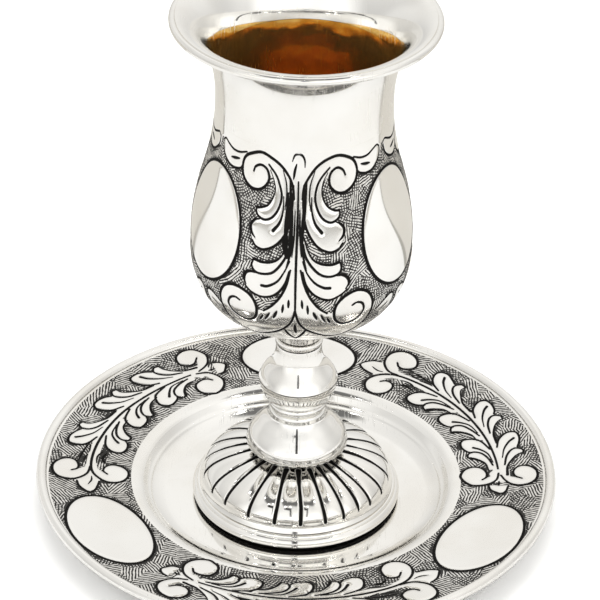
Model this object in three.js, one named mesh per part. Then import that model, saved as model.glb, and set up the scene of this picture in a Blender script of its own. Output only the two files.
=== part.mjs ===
// Footed goblet standing on its round saucer, millimetres, +Z up.
// The origin is the middle of the saucer's underside, where the pair rests on a table.
// The goblet is a stack of spun and turned pieces drawn together by one tie rod.
import * as THREE from 'three';

// Driving dimensions ---------------------------------------------------------

const joint = 0.3; // gap kept between two pieces that are soldered or seat on each other
const roundSteps = 48; // facets round the goblet's large pieces
const smallSteps = 24; // facets round the stem's small pieces
const wireSteps = 8; // facets round a wire's section

// Saucer
const saucerRadius = 70; // to the outside of the rim wire
const saucerWireRadius = 1.4;
const saucerSheet = 0.9;
const saucerRise = 8.4; // middle of the rim wire above the table
const borderInnerRadius = 43.9; // where the engraved border ends
const borderFall = 2.4; // how far the border drops from its rim to its inner edge
const wellSetback = 2.7; // from the border's inner edge in to the crease at the top of the well's wall
const creaseDrop = 1.1; // from the border's inner edge down to the crease
const wellWallReach = 6.7; // from the crease in to the well's flat floor

// Foot
const footRadius = 28; // to the outside of the rim moulding
const footRimHeight = 3.9;
const footRimWidth = 2.6;
const domeSetback = 2.9; // from the rim moulding's outside to where the flutes end
const domeSheet = 0.9;
const domeSkirtHeight = 2.4; // plain flare between the flutes and the rim
const domeSkirtSpread = 1.0;
const domeRise = 8.7; // from the flutes' lower ends to the crown
const fluteCount = 24;
const fluteDepth = 0.5;

// Stem
const rodRadius = 1.5;
const knopSheet = 0.9;
const skirtRadius = 13.65; // lower edge of the bell-shaped lower knop
const skirtGap = 1.5; // from the dome's crown up to the skirt's edge
const lowerKnopHeight = 11;
const knopRoof = 0.6; // the lower knop's roof is this much thicker than its sheet
const waistRadius = 7.5;
const knopTubeRadius = 5;
const beadRadius = 7.7;
const beadHeight = 2.4;
const beadRound = 1.2; // how far the bead's belly stands out
const upperKnopRadius = 10.45;
const upperKnopBaseRadius = 8.2;
const upperKnopBaseHeight = 6.2;
const upperKnopTopHeight = 10.6;
const collarRadius = 6.3;
const collarHeight = 1.8;
const stubRadius = 5.9;
const stubHeight = 7.4;

// Bowl
const bowlWall = 1;
const bellyRadius = 28.6;
const bellyDepth = 21.3; // from the belly's widest line down to the bottom
const bellyToThroat = 43;
const throatRadius = 22.4;
const flareHeight = 20.3;
const lipRadius = 33.95; // to the outside of the lip wire
const lipWireRadius = 1;

// Fastening
const washerRadius = 6.6;
const washerThickness = 1;
const nutAcrossFlats = 6;
const nutHeight = 2.6;
const washerDrop = 1.4; // from under the dome's sheet down to the washer
const rodOverhang = 1.6; // bare thread below the nut
const rodEngagement = 4.6; // thread inside the bowl's stub

// Radii worked out from the sizes above ---------------------------------------

const domeRadius = footRadius - domeSetback;
const wellRadius = borderInnerRadius - wellSetback;
const wellFloorRadius = wellRadius - wellWallReach;

// Heights worked out from the sizes above -------------------------------------

const borderInnerHeight = saucerRise - borderFall;
const creaseHeight = borderInnerHeight - creaseDrop;
const footBase = saucerSheet + joint;
const domeEdgeHeight = footBase + footRimHeight + joint;
const fluteEndHeight = domeEdgeHeight + domeSkirtHeight;
const domeCrown = fluteEndHeight + domeRise;
const skirtHeight = domeCrown + skirtGap;
const lowerKnopTop = skirtHeight + lowerKnopHeight;
const beadBase = lowerKnopTop + joint;
const upperKnopBase = beadBase + beadHeight + joint;
const upperKnopSeam = upperKnopBase + upperKnopBaseHeight;
const upperKnopTop = upperKnopSeam + joint + upperKnopTopHeight;
const collarBase = upperKnopTop + joint;
const stubBase = collarBase + collarHeight + joint;
const bowlBottom = stubBase + stubHeight + joint;
const bellyHeight = bowlBottom + bellyDepth;
const throatHeight = bellyHeight + bellyToThroat;
const lipHeight = throatHeight + flareHeight;
const boreRadius = rodRadius + joint;

// Helpers ------------------------------------------------------------------------

const point = (radius, height) => new THREE.Vector2(radius, height);

// Points on a smooth curve through a few hand-set ones.
const smooth = (points, steps) => new THREE.SplineCurve(points).getPoints(steps);

// A wall's other face: the profile moved sideways by the wall's thickness.
function offsetProfile(profile, distance) {
  return profile.map((here, i) => {
    const before = profile[Math.max(i - 1, 0)];
    const after = profile[Math.min(i + 1, profile.length - 1)];
    const along = after.clone().sub(before).normalize();
    return point(here.x - along.y * distance, here.y + along.x * distance);
  });
}

// The same, with both ends cut level with the profile's own ends.
function levelOffset(profile, distance) {
  const inside = offsetProfile(profile, distance);
  inside[0].y = profile[0].y;
  inside[inside.length - 1].y = profile[profile.length - 1].y;
  return inside;
}

// Turns a profile of (radius, height) points round the Z axis.
function turned(profile, steps) {
  const geometry = new THREE.LatheGeometry(profile, steps);
  return geometry.rotateX(Math.PI / 2);
}

const closed = (profile) => [...profile, profile[0].clone()];

// A ring whose section is a circle.
function wireRing(ringRadius, height, wireRadius, steps) {
  const section = [];
  for (let i = 0; i < wireSteps; i += 1) {
    const turn = (2 * Math.PI * i) / wireSteps;
    section.push(point(ringRadius + wireRadius * Math.cos(turn), height + wireRadius * Math.sin(turn)));
  }
  return turned(closed(section), steps);
}

const silver = { color: 0xe6e4df, roughness: 0.12, metalness: 1 };
const steel = { color: 0xa8a8a6, roughness: 0.35, metalness: 1 };

function piece(name, geometry, finish = silver) {
  const mesh = new THREE.Mesh(geometry, new THREE.MeshStandardMaterial(finish));
  mesh.name = name;
  return mesh;
}

// Saucer ---------------------------------------------------------------------------

function saucerDish() {
  const dishEdge = saucerRadius - 2 * saucerWireRadius - joint;
  const floor = saucerSheet;
  const wellMiddle = (wellRadius + wellFloorRadius) / 2;
  const top = [
    point(0, floor),
    point(wellFloorRadius, floor),
    ...smooth(
      [
        point(wellFloorRadius + 1.2, floor + 0.15),
        point(wellMiddle + 0.6, floor + (creaseHeight - floor) * 0.3),
        point(wellRadius, creaseHeight),
      ],
      3,
    ),
    point((wellRadius + borderInnerRadius) / 2, borderInnerHeight - creaseDrop * 0.35),
    point(borderInnerRadius, borderInnerHeight),
    point((borderInnerRadius + dishEdge) / 2, borderInnerHeight + borderFall * 0.4),
    point(dishEdge, saucerRise),
  ];
  const under = offsetProfile(top, -saucerSheet).reverse();
  under[under.length - 1] = point(0, 0);
  under[under.length - 2] = point(wellFloorRadius, 0);
  return piece('saucer_dish', turned([...under.reverse(), ...top.reverse()], 60));
}

function saucerRimWire() {
  const ringRadius = saucerRadius - saucerWireRadius;
  return piece('saucer_rim_wire', wireRing(ringRadius, saucerRise, saucerWireRadius, 60));
}

// Foot -------------------------------------------------------------------------------

function footRim() {
  const inner = footRadius - footRimWidth;
  const top = footBase + footRimHeight;
  return piece('foot_rim', turned(closed([
    point(inner, footBase),
    point(footRadius - 0.7, footBase),
    point(footRadius, footBase + footRimHeight * 0.3),
    point(footRadius - 0.35, footBase + footRimHeight * 0.65),
    point(footRadius - 1.4, top),
    point(inner, top),
  ]), roundSteps));
}

// The crown is a flattened dome; each flute dips between two ridges and fades at both ends.
function footDome() {
  const steps = fluteCount * 4;
  const outer = [
    point(domeRadius + domeSkirtSpread, domeEdgeHeight),
    point(domeRadius + domeSkirtSpread * 0.3, domeEdgeHeight + domeSkirtHeight * 0.5),
  ];
  const arcSteps = 6;
  for (let i = 0; i < arcSteps; i += 1) {
    const turn = (0.46 * Math.PI * i) / (arcSteps - 1);
    outer.push(point(domeRadius * Math.cos(turn), fluteEndHeight + domeRise * Math.sin(turn)));
  }
  outer.push(point(boreRadius, domeCrown));
  const inner = levelOffset(outer, domeSheet).reverse();
  inner[0] = point(boreRadius, domeCrown - domeSheet);
  const geometry = turned(closed([...outer, ...inner]), steps);
  const place = geometry.getAttribute('position');
  for (let i = 0; i < place.count; i += 1) {
    const x = place.getX(i);
    const y = place.getY(i);
    const along = (i % (2 * outer.length + 1)) / (outer.length - 1);
    const fade = along < 1 ? Math.max(0, Math.sin(Math.PI * Math.min(1, along * 1.15 - 0.15))) : 0;
    const ridge = Math.abs(Math.sin((fluteCount / 2) * Math.atan2(y, x)));
    place.setXYZ(i, x, y, place.getZ(i) - fluteDepth * fade * (1 - ridge));
  }
  return piece('foot_dome', geometry);
}

// Stem -------------------------------------------------------------------------------

function lowerKnop() {
  const top = lowerKnopTop;
  const outer = [
    ...smooth(
      [
        point(skirtRadius, skirtHeight),
        point(skirtRadius - 0.85, skirtHeight + lowerKnopHeight * 0.3),
        point(skirtRadius - 3.1, skirtHeight + lowerKnopHeight * 0.55),
        point(waistRadius + 0.5, skirtHeight + lowerKnopHeight * 0.77),
        point(waistRadius, top - 0.5),
      ],
      9,
    ),
    point(waistRadius - 0.2, top),
  ];
  const inner = levelOffset(outer, knopSheet);
  const wall = [...inner.slice(0, -2), point(waistRadius - knopSheet, top - knopSheet - knopRoof)];
  return piece('lower_knop', turned(closed([
    ...outer,
    point(boreRadius, top),
    point(boreRadius, top - knopSheet - knopRoof),
    ...wall.reverse(),
  ]), smallSteps));
}

function knopTube() {
  const base = domeCrown + joint;
  const top = lowerKnopTop - knopSheet - knopRoof - joint;
  return piece('knop_tube', turned(closed([
    point(boreRadius, base),
    point(knopTubeRadius, base),
    point(knopTubeRadius, top),
    point(boreRadius, top),
  ]), smallSteps));
}

function stemBead() {
  const belly = [];
  for (let i = 0; i <= 4; i += 1) {
    const turn = (Math.PI * i) / 4;
    belly.push(point(
      beadRadius - beadRound + beadRound * Math.sin(turn),
      beadBase + (beadHeight / 2) * (1 - Math.cos(turn)),
    ));
  }
  return piece('stem_bead', turned(closed([
    point(boreRadius, beadBase),
    ...belly,
    point(boreRadius, beadBase + beadHeight),
  ]), smallSteps));
}

function upperKnopLowerHalf() {
  const outer = smooth(
    [
      point(upperKnopBaseRadius, upperKnopBase),
      point(upperKnopRadius - 1.2, upperKnopBase + upperKnopBaseHeight * 0.3),
      point(upperKnopRadius - 0.3, upperKnopBase + upperKnopBaseHeight * 0.68),
      point(upperKnopRadius, upperKnopSeam),
    ],
    5,
  );
  const floor = upperKnopBase + knopSheet;
  const inner = levelOffset(outer, knopSheet).slice(1).reverse();
  return piece('upper_knop_base', turned(closed([
    point(boreRadius, upperKnopBase),
    ...outer,
    ...inner,
    point(upperKnopBaseRadius - knopSheet, floor),
    point(boreRadius, floor),
  ]), smallSteps));
}

function upperKnopUpperHalf() {
  const base = upperKnopSeam + joint;
  const outer = smooth(
    [
      point(upperKnopRadius, base),
      point(upperKnopRadius - 1, base + upperKnopTopHeight * 0.2),
      point(stubRadius + 1.3, base + upperKnopTopHeight * 0.46),
      point(stubRadius + 0.35, base + upperKnopTopHeight * 0.72),
      point(stubRadius + 0.1, upperKnopTop),
    ],
    9,
  );
  const roof = upperKnopTop - knopSheet;
  const inner = levelOffset(outer, knopSheet).slice(0, -1).reverse();
  return piece('upper_knop_top', turned(closed([
    ...outer,
    point(boreRadius, upperKnopTop),
    point(boreRadius, roof),
    point(stubRadius - knopSheet, roof),
    ...inner,
  ]), smallSteps));
}

function stemCollar() {
  const top = collarBase + collarHeight;
  return piece('stem_collar', turned(closed([
    point(boreRadius, collarBase),
    point(collarRadius - 0.3, collarBase),
    point(collarRadius, collarBase + collarHeight / 3),
    point(collarRadius, top - collarHeight / 3),
    point(collarRadius - 0.3, top),
    point(boreRadius, top),
  ]), smallSteps));
}

// The stub is soldered under the bowl and takes the tie rod's upper thread in a blind hole.
function bowlStub() {
  const top = stubBase + stubHeight;
  return piece('bowl_stub', turned([
    point(0, stubBase + rodEngagement + joint),
    point(boreRadius, stubBase + rodEngagement + joint),
    point(boreRadius, stubBase),
    point(stubRadius, stubBase),
    point(stubRadius, top),
    point(0, top),
  ], smallSteps));
}

// Bowl --------------------------------------------------------------------------------

// Round bottom, then a smooth step in to the throat, then a flare out to the lip.
function bowlProfile() {
  const profile = [point(0, bowlBottom)];
  const bottomSteps = 7;
  for (let i = 1; i <= bottomSteps; i += 1) {
    const turn = (Math.PI / 2) * (1 - i / bottomSteps);
    profile.push(point(
      bellyRadius * Math.cos(turn) ** 0.6,
      bellyHeight - bellyDepth * Math.sin(turn) ** 0.94,
    ));
  }
  const sideSteps = 6;
  for (let i = 1; i <= sideSteps; i += 1) {
    const rise = i / sideSteps;
    const step = rise ** 3 * (10 - 15 * rise + 6 * rise ** 2);
    profile.push(point(
      bellyRadius + (throatRadius - bellyRadius) * step,
      bellyHeight + bellyToThroat * rise,
    ));
  }
  const flareSteps = 5;
  const edgeRadius = lipRadius - 2 * lipWireRadius - joint;
  for (let i = 1; i <= flareSteps; i += 1) {
    const turn = (0.45 * Math.PI * i) / flareSteps;
    const spread = (1 - Math.cos(turn)) / (1 - Math.cos(0.45 * Math.PI));
    const rise = Math.sin(turn) / Math.sin(0.45 * Math.PI);
    profile.push(point(
      throatRadius + (edgeRadius - throatRadius) * spread,
      throatHeight + flareHeight * rise,
    ));
  }
  return profile;
}

function bowl() {
  const outer = bowlProfile();
  const inner = offsetProfile(outer, bowlWall).reverse();
  inner[inner.length - 1] = point(0, bowlBottom + bowlWall);
  return piece('bowl', turned([...outer, ...inner], roundSteps));
}

function lipWire() {
  const ringRadius = lipRadius - lipWireRadius;
  return piece('lip_wire', wireRing(ringRadius, lipHeight, lipWireRadius, roundSteps));
}

// Fastening -----------------------------------------------------------------------------

const washerTop = domeCrown - domeSheet - joint - washerDrop;
const nutTop = washerTop - washerThickness - joint;

function tieWasher() {
  const base = washerTop - washerThickness;
  return piece('tie_washer', turned(closed([
    point(boreRadius, base),
    point(washerRadius, base),
    point(washerRadius, washerTop),
    point(boreRadius, washerTop),
  ]), smallSteps), steel);
}

function tieNut() {
  const outline = new THREE.Shape();
  const corner = nutAcrossFlats / Math.sqrt(3);
  for (let i = 0; i < 6; i += 1) {
    const turn = (Math.PI / 3) * i;
    if (i === 0) outline.moveTo(corner, 0);
    else outline.lineTo(corner * Math.cos(turn), corner * Math.sin(turn));
  }
  outline.closePath();
  const hole = new THREE.Path();
  hole.absarc(0, 0, boreRadius, 0, 2 * Math.PI, true);
  outline.holes.push(hole);
  const geometry = new THREE.ExtrudeGeometry(outline, { depth: nutHeight, bevelEnabled: false, curveSegments: 8 });
  geometry.translate(0, 0, nutTop - nutHeight);
  return piece('tie_nut', geometry, steel);
}

function tieRod() {
  const base = nutTop - nutHeight - rodOverhang;
  const top = stubBase + rodEngagement;
  return piece('tie_rod', turned([
    point(0, base),
    point(rodRadius - 0.3, base),
    point(rodRadius, base + 0.3),
    point(rodRadius, top - 0.3),
    point(rodRadius - 0.3, top),
    point(0, top),
  ], 16), steel);
}

// Assembly ------------------------------------------------------------------------------

const saucer = new THREE.Group();
saucer.add(saucerDish(), saucerRimWire());

const goblet = new THREE.Group();
goblet.add(footRim(), footDome());
goblet.add(knopTube(), lowerKnop(), stemBead());
goblet.add(upperKnopLowerHalf(), upperKnopUpperHalf(), stemCollar());
goblet.add(bowlStub(), bowl(), lipWire());
goblet.add(tieRod(), tieWasher(), tieNut());

const assembly = new THREE.Group();
assembly.add(saucer, goblet);

export default assembly;
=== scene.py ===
# A footed silver goblet on its saucer: turned and raised silver, engraved and blackened, gilt inside the bowl.
import math

import bpy
import numpy as np
from mathutils import Matrix, Vector


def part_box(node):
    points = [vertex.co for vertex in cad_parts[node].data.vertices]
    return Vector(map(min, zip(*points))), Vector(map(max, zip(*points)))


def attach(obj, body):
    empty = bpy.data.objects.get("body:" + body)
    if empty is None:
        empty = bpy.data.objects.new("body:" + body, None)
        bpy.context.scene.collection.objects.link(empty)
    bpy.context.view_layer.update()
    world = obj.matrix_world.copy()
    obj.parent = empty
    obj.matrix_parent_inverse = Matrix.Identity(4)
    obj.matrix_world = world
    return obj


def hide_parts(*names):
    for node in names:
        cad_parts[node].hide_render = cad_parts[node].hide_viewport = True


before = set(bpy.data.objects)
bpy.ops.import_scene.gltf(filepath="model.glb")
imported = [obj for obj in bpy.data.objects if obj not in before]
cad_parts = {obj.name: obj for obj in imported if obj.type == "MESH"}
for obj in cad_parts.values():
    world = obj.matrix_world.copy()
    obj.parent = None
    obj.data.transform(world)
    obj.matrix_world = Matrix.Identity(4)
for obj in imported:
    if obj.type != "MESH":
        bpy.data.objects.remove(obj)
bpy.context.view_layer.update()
mm = 0.001
wholeTurn = 2 * math.pi
random = np.random.default_rng(7)
print("frame loaded:", len(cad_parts), "nodes")


# where a node lies, in millimetres: lowest height, highest height, outside radius
def span(node):
    low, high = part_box(node)
    return low.z / mm, high.z / mm, high.x / mm


def newObject(name, data):
    thing = bpy.data.objects.new(name, data)
    bpy.context.collection.objects.link(thing)
    return thing


cameraSettings = {
    "distance": 0.6433,      # level distance from the axis
    "height": 0.4700,        # above the table
    "tiltDown": 32.384,      # degrees
    "lean": 1.307,           # degrees, turned about the view
    "lens": 175.45,
    "sensor": 36,
    "seenFrom": 0.01,
    "seenTo": 20,
}


# The camera: moved back and up, tilted down, then leant about its own view.
def makeCamera(settings):
    camera = newObject("camera", bpy.data.cameras.new("camera"))
    place = Matrix.Translation((0, -settings["distance"], settings["height"]))
    tilt = Matrix.Rotation(math.radians(90 - settings["tiltDown"]), 4, "X")
    lean = Matrix.Rotation(math.radians(settings["lean"]), 4, "Z")
    camera.matrix_world = place @ tilt @ lean
    camera.data.lens = settings["lens"]
    camera.data.sensor_width = settings["sensor"]
    camera.data.clip_start = settings["seenFrom"]
    camera.data.clip_end = settings["seenTo"]
    bpy.context.scene.camera = camera


makeCamera(cameraSettings)
print("camera set")


# A smooth line through points: each stretch is the cubic whose slope at a point is half the step
# between that point's two neighbours.
def smoothLine(points, perStretch=8):
    p = np.asarray(points, float)
    p = np.vstack([2 * p[0] - p[1], p, 2 * p[-1] - p[-2]])
    t = np.linspace(0, 1, perStretch, endpoint=False)[:, None, None]
    a, b, c, d = p[:-3], p[1:-2], p[2:-1], p[3:]
    square, cube = 2 * a - 5 * b + 4 * c - d, 3 * b - a - 3 * c + d
    curve = 0.5 * (2 * b + (c - a) * t + square * t**2 + cube * t**3)
    return np.vstack([curve.transpose(1, 0, 2).reshape(-1, p.shape[1]), p[-2]])


# The length gone along a line at each of its points.
def lengthAlong(line):
    return np.concatenate([[0], np.cumsum(np.hypot(*np.diff(line, axis=0).T))])


# The points of a line at the wanted lengths along it.
def pointsAt(line, length, want):
    return np.stack([np.interp(want, length, line[:, 0]), np.interp(want, length, line[:, 1])], 1)


# The outward side of a profile that runs with its solid on the left: its direction turned a quarter right.
def sideways(line):
    step = np.gradient(line, axis=0)
    step /= np.maximum(np.hypot(step[:, 0], step[:, 1]), 1e-9)[:, None]
    return np.stack([step[:, 1], -step[:, 0]], 1)


# A wall's other face: the profile moved back by the wall's thickness.
def wallBehind(line, thickness):
    return line - thickness * sideways(line)


# Rounds a profile's corners: each inner corner is swapped for a short arc that touches both its sides.
def roundedCorners(points, radius, steps=5):
    p = np.asarray(points, float)
    out = [p[:1]]
    t = np.linspace(0, 1, steps)[:, None]
    for before, corner, after in zip(p[:-2], p[1:-1], p[2:]):
        a, b = before - corner, after - corner
        la, lb = np.hypot(*a), np.hypot(*b)
        reach = min(radius, la * 0.45, lb * 0.45)
        start, end = corner + a / la * reach, corner + b / lb * reach
        out.append((1 - t) ** 2 * start + 2 * t * (1 - t) * corner + t**2 * end)
    return np.vstack([*out, p[-1:]])


chartSettings = {
    "size": (0.95, 0.99),          # share of the chart that a swept surface takes, across and up
    "margin": 0.005,
    "backShare": 0.25,             # how much of its true height the unseen side gets
    "endSize": (0.012, 0.4),       # the flat ends of a part turn lie in a strip beside it
    "endPlace": (0.965, 0.005),
    "endStep": (0.018, 0.5),
}


# Arrays spread against each other, one for each of a face's four corners.
def perCorner(*parts):
    return np.stack(np.broadcast_arrays(*parts), 2)


# A profile (radius, height) swept round the upright axis. Point (i, j) is at angle start + turn * i / columns
# and at row j's radius and height, lifted by lift[i, j] along the profile's outward side.
# A looped section closes on itself; any other starts and ends on the axis. Part of a turn gets two flat ends.
# The first rows, as many as front says, take most of the height of the chart.
def sweep(name, section, columns, looped=True, start=0.0, turn=wholeTurn, lift=None, marks=None, place=None,
          front=0):
    rows = len(section)
    whole = turn > wholeTurn - 1e-6
    ring = columns if whole else columns + 1
    angle = (start + turn * np.arange(ring) / columns)[:, None]
    closed = np.vstack([section[-1:], section, section[:1]]) if looped else section
    side = sideways(closed)
    side = side[1:-1] if looped else side
    lift = np.zeros((ring, rows)) if lift is None else lift
    radius, height = np.moveaxis(section + lift[..., None] * side, 2, 0)
    points = np.stack([radius * np.cos(angle), radius * np.sin(angle), height], 2)
    i = np.arange(columns)[:, None]
    j = np.arange(rows if looped else rows - 1)[None, :]
    iNext, jNext = (i + 1) % ring, (j + 1) % rows
    loops = perCorner(i * rows + j, iNext * rows + j, iNext * rows + jNext, i * rows + jNext).ravel()
    across = perCorner(i, i + 1, i + 1, i) / columns + 0 * j[..., None]
    steps = np.hypot(*np.diff(closed[1:] if looped else closed, axis=0).T)
    steps[front:] *= chartSettings["backShare"] if front else 1
    along = np.concatenate([[0], np.cumsum(steps)]) / steps.sum()
    upward = perCorner(along[j], along[j], along[j + 1], along[j + 1]) + 0 * i[..., None]
    chart = (np.stack([across, upward], 3) * chartSettings["size"] + chartSettings["margin"]).reshape(-1, 2)
    starts = np.arange(len(loops) // 4) * 4
    if not looped:                                     # the faces on the axis shrink to triangles
        used = np.arange(ring * rows).reshape(ring, rows)
        used[:, 0], used[:, -1] = used[0, 0], used[0, -1]
        keep = np.ones((columns, rows - 1, 4), bool)
        keep[:, 0, 1] = keep[:, -1, 2] = False
        loops, chart = used.ravel()[loops][keep.ravel()], chart[keep.ravel()]
        starts = np.concatenate([[0], np.cumsum(keep.sum(2).ravel())[:-1]])
    if not whole:
        first = np.arange(rows)
        starts = np.concatenate([starts, [len(loops), len(loops) + rows]])
        loops = np.concatenate([loops, first, (columns * rows + first)[::-1]])
        flat = (section - section.min(0)) / np.ptp(section, axis=0).max()
        flat = flat * chartSettings["endSize"] + chartSettings["endPlace"]
        chart = np.vstack([chart, flat, flat[::-1] + chartSettings["endStep"]])
    marks = {key: np.broadcast_to(value, (ring, rows)).ravel() for key, value in (marks or {}).items()}
    return makeMesh(name, points.reshape(-1, 3), loops, starts, chart, marks, place)


# Puts whole arrays into a mesh, drops points that no face uses, and shades it smooth.
def makeMesh(name, points, loops, starts, chart, marks, place):
    used, loops = np.unique(loops, return_inverse=True)
    mesh = bpy.data.meshes.new(name)
    mesh.vertices.add(len(used))
    mesh.vertices.foreach_set("co", (points[used] * mm).astype(np.float32).ravel())
    mesh.loops.add(len(loops))
    mesh.loops.foreach_set("vertex_index", loops.astype(np.int32).ravel())
    mesh.polygons.add(len(starts))
    mesh.polygons.foreach_set("loop_start", starts.astype(np.int32))
    mesh.polygons.foreach_set("use_smooth", np.ones(len(starts), bool))
    mesh.uv_layers.new(name="OFBake").data.foreach_set("uv", chart.astype(np.float32).ravel())
    for key, values in marks.items():
        mesh.attributes.new(key, "FLOAT", "POINT").data.foreach_set("value", values[used].astype(np.float32))
    if place is not None:
        flat = np.zeros((len(used), 3), np.float32)
        flat[:, :2] = place.reshape(-1, 2)[used]
        mesh.attributes.new("place", "FLOAT_VECTOR", "POINT").data.foreach_set("vector", flat.ravel())
    mesh.update(calc_edges=True)
    return newObject(name, mesh)


# A cut is drawn as a row of round dabs along a smooth line. The dab's half width is the cut's width times
# a swell that depends on how far along it lies, from 0 to 1.
swells = {
    "even": lambda t: 0.72 + 0.28 * np.sin(math.pi * t) ** 0.7,
    "both": lambda t: 0.25 + 0.75 * np.sin(math.pi * t) ** 0.8,
    "end": lambda t: 0.3 + 0.7 * t**1.3,
    "start": lambda t: 0.3 + 0.7 * (1 - t) ** 1.3,
}
dabSettings = {
    "apart": 0.09,           # along the cut
    "fewest": 6,
    "reach": 1.4,            # how far round the dabs the distance is measured
    "atOnce": 24,            # dabs that are measured together
    "farthest": 1.0,         # the distance written where no dab is near
}


# dabs along one cut: their places and half widths
def dabs(cut, wander):
    points, width, swell = cut
    points = np.asarray(points, float)
    line = smoothLine(points + random.normal(0, wander, points.shape))
    length = lengthAlong(line)
    count = max(dabSettings["fewest"], int(length[-1] / dabSettings["apart"]))
    line = pointsAt(line, length, np.linspace(0, length[-1], count))
    return line, width / 2 * swells[swell](np.linspace(0, 1, count))


# The part of a grid that lies between two corners, as a slice of each of its rising axes.
def gridPart(x, y, low, high):
    return tuple(slice(*np.searchsorted(axis, ends)) for axis, *ends in zip((x, y), low, high))


def unchanged(across, along):
    return across, along


# At every grid point, the least over all dabs of: distance to the dab less the dab's half width.
def edgeDistance(x, y, cuts, wander, toPlane=unchanged):
    grid = toPlane(*np.meshgrid(x, y, indexing="ij"))
    field = np.full(grid[0].shape, dabSettings["farthest"], np.float32)
    for cut in cuts:
        line, half = dabs(cut, wander)
        for some in np.array_split(np.arange(len(half)), max(1, len(half) // dabSettings["atOnce"])):
            few = line[some]
            near = gridPart(x, y, few.min(0) - dabSettings["reach"], few.max(0) + dabSettings["reach"])
            if field[near].size:
                apart = [
                    whole[near].astype(np.float32)[..., None] - dab.astype(np.float32)
                    for whole, dab in zip(grid, toPlane(*few.T))
                ]
                gap = np.hypot(*apart) - half[some].astype(np.float32)
                field[near] = np.minimum(field[near], gap.min(-1))
    return field


# 1 inside a closed outline and 0 outside: a point is inside if a level line from it crosses the outline
# an odd number of times.
def inside(x, y, outline):
    p = np.asarray(outline, float)
    near = gridPart(x, y, p.min(0), p.max(0))
    px, py = np.meshgrid(x[near[0]], y[near[1]], indexing="ij")
    part = np.zeros(px.shape, bool)
    for (ax, ay), (bx, by) in zip(p, np.roll(p, -1, axis=0)):
        if ay != by:
            part ^= ((ay > py) != (by > py)) & (px < (bx - ax) * (py - ay) / (by - ay) + ax)
    result = np.zeros((len(x), len(y)), bool)
    result[near] = part
    return result


# A soft step from 0 to 1 between two values.
def softStep(value, low, high):
    t = np.clip((value - low) / (high - low), 0, 1)
    return t * t * (3 - 2 * t)


# Averages a field with its neighbours, a few times over.
def soften(field, times):
    for _ in range(times):
        padded = np.pad(field, 1, mode="edge")
        field = (padded[:-2, 1:-1] + padded[2:, 1:-1] + padded[1:-1, :-2] + padded[1:-1, 2:] + 2 * field) / 6
    return field


bowlRelief = {
    "cutDepth": 0.15,        # how deep the main cuts go
    "cutFlank": (-0.16, 0.07),
    "groundDepth": 0.07,     # how far the hatched ground is set down
    "groundSoft": 2,
    "pillow": 0.04,          # how far a leaf swells between its cuts
    "pillowReach": 1.0,
    "pillowSoft": 4,
    "maskSoft": 3,
}
saucerRelief = dict(bowlRelief, cutDepth=0.17, groundDepth=0.10, pillow=0.13)


# Height over the plain surface: minus the ground's depth, plus the leaves' swell, minus the cuts.
def reliefHeight(edge, ground, plain, settings):
    cut = 1 - softStep(edge, *settings["cutFlank"])
    leaf = soften(np.clip(1 - ground - plain, 0, 1), settings["pillowSoft"])
    swell = softStep(edge, 0.0, settings["pillowReach"]) * leaf * settings["pillow"]
    return swell - settings["groundDepth"] * soften(ground, settings["groundSoft"]) - settings["cutDepth"] * cut


def mirrored(cuts):
    return [([(-x, y) for x, y in points], width, swell) for points, width, swell in cuts]


def moved(points, dx):
    return [(x + dx, y) for x, y in points]


def movedCuts(cuts, dx):
    return [(moved(points, dx), width, swell) for points, width, swell in cuts]


print("shapes and engraving tools ready")


# Sets a node's inputs, each to a number, a colour or another node's output.
def plug(tree, node, inputs):
    for key, value in inputs.items():
        socket = node.inputs[key]
        if isinstance(value, bpy.types.NodeSocket):
            tree.links.new(value, socket)
        else:
            socket.default_value = (*value, 1) if socket.type == "RGBA" else value


# Adds one node and gives its outputs.
def addNode(tree, kind, inputs=None, **settings):
    node = tree.nodes.new("ShaderNode" + kind)
    for key, value in settings.items():
        setattr(node, key, value)
    plug(tree, node, inputs or {})
    return node.outputs


def math1(tree, operation, *values, clamp=False):
    return addNode(tree, "Math", dict(enumerate(values)), operation=operation, use_clamp=clamp)[0]


# a value carried smoothly from one range to another
def remap(tree, value, low, high, outLow, outHigh):
    ends = {"Value": value, "From Min": low, "From Max": high, "To Min": outLow, "To Max": outHigh}
    return addNode(tree, "MapRange", ends, interpolation_type="SMOOTHSTEP")["Result"]


# A mask times several soft steps, each given as its value, its two ends and what it gives before and after them.
def masked(tree, mask, *steps):
    for step in steps:
        mask = math1(tree, "MULTIPLY", mask, remap(tree, *step))
    return mask


def noise(tree, vector, scale, detail=2.0, roughness=0.5):
    inputs = {"Vector": vector, "Scale": scale, "Detail": detail, "Roughness": roughness}
    return addNode(tree, "TexNoise", inputs)["Fac"]


def mixColour(tree, amount, first, second):
    return addNode(tree, "Mix", {"Factor": amount, 6: first, 7: second}, data_type="RGBA")[2]


def bumpOf(tree, height, distance, normal=(0, 0, 0)):
    return addNode(tree, "Bump", {"Strength": 1.0, "Distance": distance, "Height": height, "Normal": normal})[0]


def newMaterial(name):
    material = bpy.data.materials.new(name)
    material.use_nodes = True
    return material, material.node_tree, material.node_tree.nodes["Principled BSDF"]


# a group with a vector and some numbers going in, and some numbers coming out
def newGroup(name, inputs, outputs):
    group = bpy.data.node_groups.new(name, "ShaderNodeTree")
    group.interface.new_socket("Vector", in_out="INPUT", socket_type="NodeSocketVector")
    for label in inputs:
        group.interface.new_socket(label, in_out="INPUT", socket_type="NodeSocketFloat")
    for label in outputs:
        group.interface.new_socket(label, in_out="OUTPUT", socket_type="NodeSocketFloat")
    return group, group.nodes.new("NodeGroupInput").outputs, group.nodes.new("NodeGroupOutput").inputs


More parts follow.
